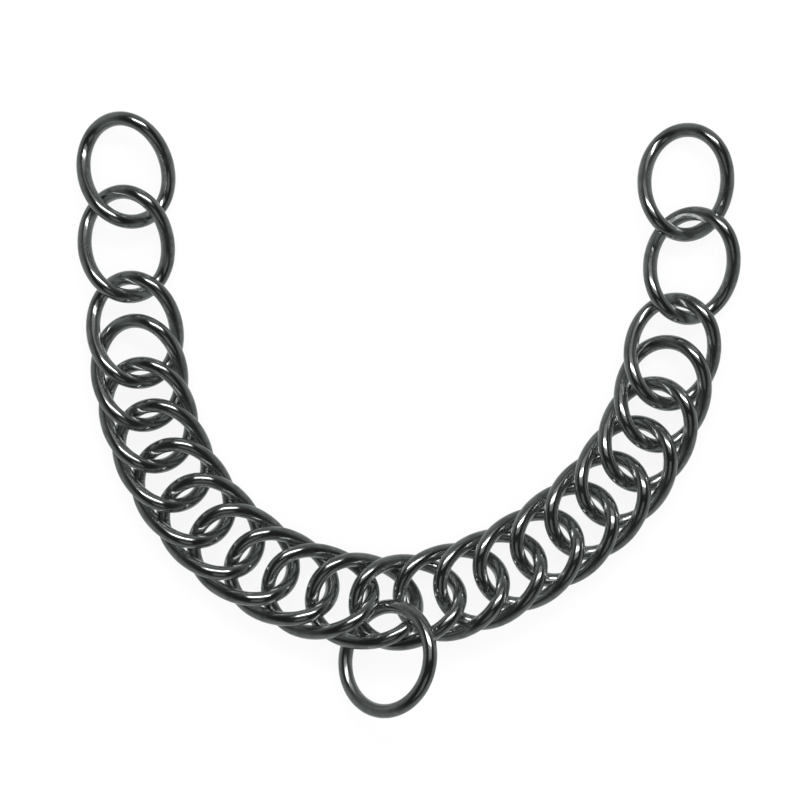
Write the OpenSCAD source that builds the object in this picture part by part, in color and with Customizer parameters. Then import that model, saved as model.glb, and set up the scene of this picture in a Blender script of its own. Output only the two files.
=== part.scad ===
// Double-link curb chain with a loose lip-strap ring, lying flat in a U on a table.
// Every chain ring is one piece of round wire, bent into an oval and twisted into a saddle
// so that the chain lies flat. Rings 3 to 22 are double-linked: each passes through the next
// two. The two rings at either end are single-linked, and go on the bit's hooks.
// Millimetres, +Z up, +X across the U, +Y towards its open end, origin under the middle.

/* [Chain rings] */
// Thickness of the wire of a chain ring
wire_d = 2.7; // [2.2:0.05:2.7]
// Half the length of a ring's wire centreline, along the chain
half_length = 9.9; // [9.7:0.05:10.1]
// Half the width of a ring's wire centreline, across the chain
half_width = 7.8; // [7.7:0.05:8]
// Height of the twist: how far a ring's centreline rises and falls
twist_height = 2.6; // [2.5:0.05:2.8]

/* [Chain layout] */
// Distance between the centres of two rings in the double-linked stretch
pitch = 8.15; // [8.1:0.05:8.4]
// Distance between the centres of two single-linked rings
end_pitch = 16; // [15:0.1:16.5]
// Distance between the first two rings, which are pushed together
first_pitch = 14; // [13.5:0.1:16]
// Sideways tip of the middle rings, outer edge up
middle_lean = 12; // [8:1:14]

/* [Lip-strap ring] */
// Thickness of the wire of the lip-strap ring
strap_wire_d = 2.7; // [2.2:0.05:2.7]
// Radius of its wire centreline
strap_radius = 9.9; // [9.7:0.05:10]
// How steeply the ring leans on the chain, right side up
strap_tilt = 37.5; // [37:0.5:38]

/* [Hidden] */
ring_count = 24;

wire_sides = 12;      // sides of a chain ring's wire
wire_steps = 32;      // sections round a chain ring
first_heading = -88;  // direction in which the chain leaves its first ring
middle_ring = 12.5;   // the lean is greatest here, and fades out over lean_span rings
lean_span = 9;
strap_turn = 256.5;   // direction of the line about which the lip-strap ring leans
strap_place = [49, -91.8, 7.7]; // its centre, measured from the first ring

function ring_name(i) = str("chain_ring_", i < 10 ? "0" : "", i);

// Turn in degrees from ring i to ring i + 1: straight left arm, round bottom, flatter stretch
// at the lower right, and a right arm that leans inwards
function bend(i) =
    lookup(i, [[1, 0], [3, 4], [4, 8], [8, 10.5], [13, 10], [16, 6], [19, 11], [22, 4], [23, 10]]);

function heading(i) = i == 1 ? first_heading : heading(i - 1) + bend(i - 1);

function step_length(i) = i == 1 ? first_pitch : i == 2 || i > 21 ? end_pitch : pitch;

// Place of ring i on the table, measured from the first ring
function place(i) =
    i == 1 ? [0, 0, 0]
    : let (way = (heading(i - 1) + heading(i)) / 2)
      place(i - 1) + step_length(i - 1) * [cos(way), sin(way), 0];

// Extra yaw, roll and pitch of single rings: the second ring lies askew, and the lip-strap
// ring pushes apart the rings that it is threaded through
function twist_aside(i) =
    i == 2 ? [-4, 0, 0]
    : i == 10 ? [0, 0, -0.5]
    : i == 11 ? [3.5, -1.5, -4.5]
    : i == 12 ? [-6.5, 1, 3]
    : i == 13 ? [2.5, -2, 4.5]
    : i == 14 ? [-3.5, 3, -3.5]
    : [0, 0, 0];

// How far single rings are pushed along the table and lifted off it: the loose rings at both
// ends, and the rings about the lip-strap ring
function push_aside(i) =
    i == 1 ? [-0.4, 0.1, 0]
    : i == 2 ? [-0.8, 0.2, 0]
    : i == 10 ? [0.1, 0, 0]
    : i == 11 ? [-0.3, 0.1, 1]
    : i == 12 ? [0, -0.3, 0.1]
    : i == 13 ? [0, -0.2, 0]
    : i == 14 ? [0.3, 0.1, 0]
    : i == 15 ? [0, 0, 0.1]
    : i == 23 ? [1.5, 0.4, 0]
    : i == 24 ? [0.2, 0.1, 0]
    : [0, 0, 0];

// Turn of a ring's long axis away from the chain's direction: most at the loose ends
function yaw(i) = lookup(i, [[1, 16], [4, 4], [21, 4], [24, -8]]) + twist_aside(i)[0];

function fade(u) = abs(u) < 1 ? cos(90 * u) ^ 2 : 0;

function roll(i) = twist_aside(i)[1] - middle_lean * fade((i - middle_ring) / lean_span);

function turn_x(a) = [[1, 0, 0], [0, cos(a), -sin(a)], [0, sin(a), cos(a)]];
function turn_y(a) = [[cos(a), 0, sin(a)], [0, 1, 0], [-sin(a), 0, cos(a)]];
function turn_z(a) = [[cos(a), -sin(a), 0], [sin(a), cos(a), 0], [0, 0, 1]];

function attitude(i) = turn_z(heading(i) + yaw(i)) * turn_x(roll(i)) * turn_y(twist_aside(i)[2]);

// Centreline of a ring before it is placed, at angle t round it
function saddle(t) =
    [half_length * cos(t), half_width * sin(t), -2 * twist_height * cos(t) * sin(t)];

function tilted(i) =
    let (turn = attitude(i))
    [for (k = [0:wire_steps - 1]) turn * saddle(360 * k / wire_steps)];

// Closed centreline of ring i, resting on the table, measured from the first ring
function centreline(i) =
    let (path = tilted(i), low = min([for (p = path) p.z]))
    let (seat = place(i) + [0, 0, wire_d / 2 - low] + push_aside(i))
    [for (p = path) p + seat];

strap_attitude = turn_z(strap_turn) * turn_x(strap_tilt);
strap_line =
    [for (t = [0:5:355]) strap_place + strap_attitude * [strap_radius * cos(t), strap_radius * sin(t), 0]];

// Middle of the whole object, seen from above
outline = concat(strap_line, [for (i = [1:ring_count]) each centreline(i)]);
function middle(axis) =
    (min([for (p = outline) p[axis]]) + max([for (p = outline) p[axis]])) / 2;
origin = [middle(0), middle(1), 0];

// One closed loop of round wire along a list of points
module closed_wire(path, thickness) {
    count = len(path);
    corners = [
        for (k = [0:count - 1])
        let (along = path[(k + 1) % count] - path[(k + count - 1) % count])
        let (side = cross(along, [0, 0, 1]) / norm(cross(along, [0, 0, 1])))
        let (up = cross(side, along) / norm(along))
        for (j = [0:wire_sides - 1])
        let (a = 360 * j / wire_sides)
        path[k] + thickness / 2 * (side * cos(a) + up * sin(a))
    ];
    walls = [
        for (k = [0:count - 1], j = [0:wire_sides - 1])
        let (here = k * wire_sides, next = (k + 1) % count * wire_sides, turn = (j + 1) % wire_sides)
        [here + j, next + j, next + turn, here + turn]
    ];
    polyhedron(points = corners, faces = walls, convexity = 6);
}

module chain_ring(i) {
    color("lightsteelblue")
    translate(-origin)
    closed_wire(centreline(i), wire_d);
}

module lip_strap_ring() {
    color("slategray")
    translate(strap_place - origin)
    rotate([strap_tilt, 0, strap_turn])
    rotate_extrude($fn = 96)
    translate([strap_radius, 0])
    circle(d = strap_wire_d, $fn = 32);
}

for (i = [1:ring_count]) chain_ring(i);
lip_strap_ring();
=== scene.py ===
"""Looks of a double-link curb chain with a lip-strap ring, lying on a pale floor in studio light."""
import math
import bpy
import numpy as np
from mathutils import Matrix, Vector


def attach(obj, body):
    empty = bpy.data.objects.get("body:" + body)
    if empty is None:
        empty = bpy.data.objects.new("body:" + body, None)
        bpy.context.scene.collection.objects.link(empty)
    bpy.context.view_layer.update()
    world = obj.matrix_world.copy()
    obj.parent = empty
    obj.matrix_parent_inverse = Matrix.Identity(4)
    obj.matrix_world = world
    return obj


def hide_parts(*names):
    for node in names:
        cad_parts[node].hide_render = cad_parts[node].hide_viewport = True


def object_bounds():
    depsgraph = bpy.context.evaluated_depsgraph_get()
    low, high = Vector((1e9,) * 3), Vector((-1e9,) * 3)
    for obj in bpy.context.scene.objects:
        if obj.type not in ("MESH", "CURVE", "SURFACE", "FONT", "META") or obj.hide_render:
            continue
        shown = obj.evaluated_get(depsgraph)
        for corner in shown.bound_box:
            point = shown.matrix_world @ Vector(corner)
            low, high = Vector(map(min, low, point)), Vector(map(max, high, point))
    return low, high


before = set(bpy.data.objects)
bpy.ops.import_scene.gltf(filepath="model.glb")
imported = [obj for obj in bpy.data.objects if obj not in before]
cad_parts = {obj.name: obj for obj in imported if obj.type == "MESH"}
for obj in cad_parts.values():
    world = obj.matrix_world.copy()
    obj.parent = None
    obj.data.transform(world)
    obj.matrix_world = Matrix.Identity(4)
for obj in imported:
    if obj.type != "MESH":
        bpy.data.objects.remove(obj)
cad_low, cad_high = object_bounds()

MM = 0.001
RING_COUNT = 24
WIRE = 2.7 * MM                 # thickness of the wire of every ring
HALF_LENGTH = 9.9 * MM          # of a chain ring's centreline, along the chain
HALF_WIDTH = 7.8 * MM           # across the chain
TWIST_HEIGHT = 2.6 * MM         # rise and fall of the centreline
STEPS = 216                     # sections round a ring
SIDES = 32                      # points round the wire

# The dressed weld where the ends of a ring's wire meet: a low ridge with a groove along its middle
SEAM_RISE = 0.025 * MM
SEAM_WIDTH = 0.45 * MM
SEAM_GROOVE = 1.6               # depth of the groove, in heights of the ridge
SEAM_GROOVE_WIDTH = SEAM_WIDTH / 4
SEAM_AT = (0.75, 0.25)          # place of the weld on even and odd chain rings, in turns
STRAP_SEAM_AT = 0.1             # on the lip-strap ring


def ring_name(i):
    return f"chain_ring_{i:02d}"


def node_points(name):
    """The corners of a CAD node's mesh, each once."""
    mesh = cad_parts[name].data
    points = np.empty(3 * len(mesh.vertices))
    mesh.vertices.foreach_get("co", points)
    return np.unique(points.reshape(-1, 3).round(7), axis=0)


def main_axes(points):
    """Centre and main directions of a cloud of points, longest first."""
    centre = points.mean(axis=0)
    axes = np.linalg.eigh(np.cov((points - centre).T))[1]
    return centre, axes[:, ::-1].T


# ---------------------------------------------------------------- shapes

def directions_across(path):
    """For each point of a closed path, two directions across it: inward and up."""
    along = np.roll(path, -1, axis=0) - np.roll(path, 1, axis=0)
    along /= np.linalg.norm(along, axis=1)[:, None]
    inward = path.mean(axis=0) - path
    inward -= (inward * along).sum(axis=1)[:, None] * along
    inward /= np.linalg.norm(inward, axis=1)[:, None]
    return inward, np.cross(along, inward)


def distance_from_seam(path, seam_at):
    """For each point of a closed path, its distance along the path from the weld."""
    step = np.linalg.norm(np.roll(path, -1, axis=0) - path, axis=1)
    run = np.concatenate([[0], np.cumsum(step)[:-1]])
    length = step.sum()
    return (run - seam_at * length + length / 2) % length - length / 2


def tube_faces(count):
    """Four-sided faces between count rings of SIDES points, closed both ways."""
    here = np.arange(count)[:, None] * SIDES
    there = (np.arange(count)[:, None] + 1) % count * SIDES
    side = np.arange(SIDES)[None]
    next_side = (side + 1) % SIDES
    faces = np.stack([here + side, here + next_side, there + next_side, there + side], axis=-1)
    return faces.reshape(-1, 4)


def wire_loop(name, path, seam_at):
    """A closed loop of round wire along path. Every point carries its place on the wire, in
    millimetres: along the wire from the weld, and across it in two directions."""
    inward, up = directions_across(path)
    seam = distance_from_seam(path, seam_at)
    groove = SEAM_GROOVE * np.exp(-(seam / SEAM_GROOVE_WIDTH) ** 2)
    radius = WIRE / 2 + SEAM_RISE * np.exp(-(seam / SEAM_WIDTH) ** 2) * (1 - groove)
    turn = 2 * math.pi * np.arange(SIDES) / SIDES
    across = (inward[:, None] * np.cos(turn)[None, :, None]
              + up[:, None] * np.sin(turn)[None, :, None])
    points = path[:, None] + radius[:, None, None] * across
    mesh = bpy.data.meshes.new(name)
    mesh.from_pydata(points.reshape(-1, 3).tolist(), [], tube_faces(len(path)).tolist())
    mesh.polygons.foreach_set("use_smooth", [True] * len(mesh.polygons))
    place = np.empty((len(path), SIDES, 3))
    place[..., 0] = np.abs(seam)[:, None] / MM
    place[..., 1] = radius[:, None] / MM * np.cos(turn)
    place[..., 2] = radius[:, None] / MM * np.sin(turn)
    on_wire = mesh.attributes.new("on_wire", "FLOAT_VECTOR", "POINT")
    on_wire.data.foreach_set("vector", place.ravel())
    mesh.update()
    piece = bpy.data.objects.new(name, mesh)
    bpy.context.scene.collection.objects.link(piece)
    return piece


def chain_ring_path(node, ahead):
    """Centreline of a chain ring: an oval twisted into a saddle, where the CAD ring is."""
    centre, (along, _, up) = main_axes(node_points(node))
    if along @ ahead < 0:
        along = -along
    if up[2] < 0:
        up = -up
    across = np.cross(up, along)
    t = 2 * math.pi * np.arange(STEPS)[:, None] / STEPS
    twist = -2 * TWIST_HEIGHT * np.cos(t) * np.sin(t)
    return centre + HALF_LENGTH * np.cos(t) * along + HALF_WIDTH * np.sin(t) * across + twist * up


def round_ring_path(node):
    """Centreline of the flat round ring, where the CAD ring is."""
    points = node_points(node)
    centre, (first, second, _) = main_axes(points)
    radius = np.abs((points - centre) @ np.array([first, second]).T).max() - WIRE / 2
    t = 2 * math.pi * np.arange(STEPS)[:, None] / STEPS
    return centre + radius * (np.cos(t) * first + np.sin(t) * second)


# ---------------------------------------------------------------- materials

class Nodes:
    """Short way to add nodes to a material or a world and link them."""

    def __init__(self, owner):
        owner.use_nodes = True
        self.tree = owner.node_tree

    def __getitem__(self, name):
        return self.tree.nodes[name]

    def add(self, kind, inputs=None, **settings):
        node = self.tree.nodes.new(kind)
        for key, value in settings.items():
            setattr(node, key, value)
        for key, value in (inputs or {}).items():
            self.set(node.inputs[key], value)
        return node

    def set(self, socket, value):
        if isinstance(value, bpy.types.NodeSocket):
            self.tree.links.new(value, socket)
        else:
            socket.default_value = value

    def remap(self, value, source, target):
        ends = {"From Min": source[0], "From Max": source[1], "To Min": target[0], "To Max": target[1]}
        return self.add("ShaderNodeMapRange", {"Value": value, **ends}).outputs["Result"]

    def math(self, operation, first, second):
        return self.add("ShaderNodeMath", {0: first, 1: second}, operation=operation).outputs["Value"]

    def mix(self, factor, first, second):
        """Mix of two colours, each given as red, green and blue or as a socket."""
        node = self.add("ShaderNodeMix", {"Factor": factor}, data_type="RGBA")
        for socket, value in ((node.inputs[6], first), (node.inputs[7], second)):
            self.set(socket, (*value, 1) if isinstance(value, tuple) else value)
        return node.outputs[2]

    def noise(self, vector, scale, detail, roughness):
        inputs = {"Vector": vector, "Scale": scale, "Detail": detail, "Roughness": roughness}
        return self.add("ShaderNodeTexNoise", inputs).outputs["Fac"]

    def stretched(self, vector, scale):
        return self.add("ShaderNodeMapping", {"Vector": vector, "Scale": scale}).outputs["Vector"]

    def mix_shader(self, factor, first, second):
        return self.add("ShaderNodeMixShader", {0: factor, 1: first, 2: second}).outputs["Shader"]


def shade(colour, share):
    return tuple(share * c for c in colour)


def polished_steel(name, bright, dull, smooth, rough, scratch_depth):
    """Polished wire: drawing lines along it, cross scratches from rubbing, small nicks, a duller
    patchy film, and a ground weld. Its inner side, which is hard to reach, is polished less."""
    material = bpy.data.materials.new(name)
    n = Nodes(material)
    shader = n["Principled BSDF"]
    on_wire = n.add("ShaderNodeAttribute", attribute_name="on_wire").outputs["Vector"]
    place = n.add("ShaderNodeSeparateXYZ", {"Vector": on_wire})
    from_seam, inward = place.outputs["X"], place.outputs["Y"]
    in_mm = n.stretched(n.add("ShaderNodeTexCoord").outputs["Object"], (1 / MM, 1 / MM, 1 / MM))

    patches = n.noise(in_mm, scale=0.35, detail=4.0, roughness=0.6)
    film = n.remap(patches, (0.42, 0.68), (0.0, 1.0))
    drawn = n.noise(n.stretched(on_wire, (0.25, 5.0, 5.0)), scale=2.2, detail=3.0, roughness=0.65)
    rubbed = n.noise(n.stretched(on_wire, (7.0, 0.8, 0.8)), scale=1.6, detail=2.0, roughness=0.6)
    scratch = n.math("ADD", n.remap(drawn, (0.3, 0.7), (0.0, 1.0)),
                     n.remap(rubbed, (0.62, 0.75), (0.0, 0.8)))
    cells = n.add("ShaderNodeTexVoronoi", {"Vector": in_mm, "Scale": 0.75, "Randomness": 1.0})
    nick = n.remap(cells.outputs["Distance"], (0.05, 0.12), (1.0, 0.0))
    seam = n.remap(from_seam, (0.25, 0.7), (1.0, 0.0))

    worn = n.mix(film, bright, dull)
    nicked = n.mix(n.math("MULTIPLY", nick, 0.5), worn, shade(dull, 0.45))
    n.set(shader.inputs["Base Color"], n.mix(n.math("MULTIPLY", seam, 0.2), nicked, shade(dull, 0.6)))

    inner = n.remap(inward, (0.2, 0.9), (0.0, 0.1))
    base = n.math("ADD", n.remap(film, (0.0, 1.0), (smooth, rough)), inner)
    streaked = n.math("ADD", base, n.math("MULTIPLY", scratch, 0.05))
    n.set(shader.inputs["Roughness"], n.math("ADD", streaked, n.math("MULTIPLY", seam, 0.06)))

    relief = n.math("SUBTRACT", n.math("MULTIPLY", scratch, 0.5), nick)
    bump = n.add("ShaderNodeBump", {"Strength": 0.35, "Distance": scratch_depth, "Height": relief})
    n.set(shader.inputs["Normal"], bump.outputs["Normal"])
    shader.inputs["Metallic"].default_value = 1.0
    shader.inputs["IOR"].default_value = 2.5
    return material


# ---------------------------------------------------------------- pieces

def dress(piece, node, material):
    """Show a piece in place of the CAD node that it rides on."""
    piece.data.materials.append(material)
    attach(piece, node)
    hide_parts(node)


chain_steel = polished_steel("chain_steel", bright=(0.56, 0.575, 0.57), dull=(0.36, 0.375, 0.365),
                             smooth=0.08, rough=0.16, scratch_depth=0.012 * MM)
strap_steel = polished_steel("strap_ring_steel", bright=(0.58, 0.59, 0.585), dull=(0.42, 0.43, 0.425),
                             smooth=0.07, rough=0.13, scratch_depth=0.008 * MM)

centres = [node_points(ring_name(i)).mean(axis=0) for i in range(1, RING_COUNT + 1)]
for i in range(1, RING_COUNT + 1):
    node = ring_name(i)
    before, after = centres[max(i - 2, 0)], centres[min(i, RING_COUNT - 1)]
    ring = wire_loop(f"{node}_wire", chain_ring_path(node, after - before), SEAM_AT[i % 2])
    dress(ring, node, chain_steel)

strap_ring = wire_loop("lip_strap_ring_wire", round_ring_path("lip_strap_ring"), STRAP_SEAM_AT)
dress(strap_ring, "lip_strap_ring", strap_steel)


# ---------------------------------------------------------------- camera, floor and light

FIELD = 1.208                            # width of the view, in widths of the object
VIEW_SHIFT = (-1.53 * MM, 2.7 * MM)      # of the camera from the middle of the object
CAMERA_HEIGHT = 1.1                      # m
SENSOR = 36.0                            # mm
FLOOR_REACH = 4.0                        # m from the middle to each side
OVEREXPOSED = 0.88                       # share of the table that is burnt out to white
CARD_STRENGTH = (0.6, 0.24)              # of the table in the wire, seen steeply and flat
ROOM_STRENGTH = 1.05                     # of the white light all round
WALL_STRENGTH = (0.24, 0.012)            # of the room in the wire, at the horizon and high up
WALL_TOP = 0.6                           # height at which it is darkest, as a sine

# Softboxes, aimed at the middle of the table: place in metres, width and depth, watts
SOFTBOXES = {
    "softbox_core": ((0.02, 0.46, 0.72), (0.66, 0.17), 2.6),
    "softbox_spill": ((0.02, 0.50, 0.76), (0.80, 0.86), 0.62),
    "window_behind": ((0.0, -0.42, 0.75), (0.50, 0.50), 0.1),
}


def overhead_camera():
    middle = (cad_low + cad_high) / 2
    data = bpy.data.cameras.new("camera")
    data.sensor_width = SENSOR
    data.lens = SENSOR * CAMERA_HEIGHT / (FIELD * (cad_high.x - cad_low.x))
    camera = bpy.data.objects.new("camera", data)
    camera.location = (middle.x + VIEW_SHIFT[0], middle.y + VIEW_SHIFT[1], CAMERA_HEIGHT)
    bpy.context.scene.collection.objects.link(camera)
    bpy.context.scene.camera = camera


def white_table():
    """Overexposed white. In the polished wire it is a dim card, brighter where it is seen
    steeply. From below there is nothing, so light reaches rings that hang below table height at
    a pose, and from above they show through."""
    material = bpy.data.materials.new("floor_white")
    n = Nodes(material)
    shader = n["Principled BSDF"]
    shader.inputs["Base Color"].default_value = (0.93, 0.93, 0.93, 1)
    shader.inputs["Roughness"].default_value = 0.9
    rays = n.add("ShaderNodeLightPath")
    facing = n.add("ShaderNodeLayerWeight", {"Blend": 0.5}).outputs["Facing"]
    card = n.add("ShaderNodeEmission", {"Color": (0.8, 0.84, 0.81, 1),
                                        "Strength": n.remap(facing, (0.0, 0.75), CARD_STRENGTH)})
    veil = n.add("ShaderNodeBsdfTransparent", {"Color": (0.95, 0.95, 0.95, 1)})
    nothing = n.add("ShaderNodeBsdfTransparent")
    burnt_out = n.math("MULTIPLY", rays.outputs["Is Camera Ray"], OVEREXPOSED)
    table = n.mix_shader(burnt_out, shader.outputs["BSDF"], veil.outputs["BSDF"])
    top = n.mix_shader(rays.outputs["Is Glossy Ray"], table, card.outputs["Emission"])
    from_below = n.add("ShaderNodeNewGeometry").outputs["Backfacing"]
    n.set(n["Material Output"].inputs["Surface"],
          n.mix_shader(from_below, top, nothing.outputs["BSDF"]))
    return material


def floor():
    corners = [(FLOOR_REACH * x, FLOOR_REACH * y, 0) for x, y in ((-1, -1), (1, -1), (1, 1), (-1, 1))]
    mesh = bpy.data.meshes.new("floor")
    mesh.from_pydata(corners, [], [(0, 1, 2, 3)])
    mesh.materials.append(white_table())
    plane = bpy.data.objects.new("floor", mesh)
    plane.location.z = cad_low.z
    bpy.context.scene.collection.objects.link(plane)


def softbox(name, place, size, watts):
    light = bpy.data.lights.new(name, "AREA")
    light.shape = "RECTANGLE"
    light.size, light.size_y = size
    light.energy = watts
    lamp = bpy.data.objects.new(name, light)
    lamp.location = place
    lamp.rotation_euler = (-Vector(place)).to_track_quat("-Z", "Y").to_euler()
    bpy.context.scene.collection.objects.link(lamp)


def studio():
    """White all round for soft light on the table, dark in the polished wire's reflections."""
    world = bpy.data.worlds.new("studio")
    bpy.context.scene.world = world
    n = Nodes(world)
    room = n["Background"]
    room.inputs["Color"].default_value = (1, 1, 1, 1)
    room.inputs["Strength"].default_value = ROOM_STRENGTH
    way = n.add("ShaderNodeTexCoord").outputs["Generated"]
    height = n.add("ShaderNodeSeparateXYZ", {"Vector": way}).outputs["Z"]
    walls = n.add("ShaderNodeBackground", {"Color": (0.93, 1.0, 0.96, 1),
                                           "Strength": n.remap(height, (0.0, WALL_TOP), WALL_STRENGTH)})
    in_wire = n.add("ShaderNodeLightPath").outputs["Is Glossy Ray"]
    n.set(n["World Output"].inputs["Surface"],
          n.mix_shader(in_wire, room.outputs["Background"], walls.outputs["Background"]))
    for name, (place, size, watts) in SOFTBOXES.items():
        softbox(name, place, size, watts)


overhead_camera()
floor()
studio()
bpy.context.scene.view_settings.view_transform = "Standard"
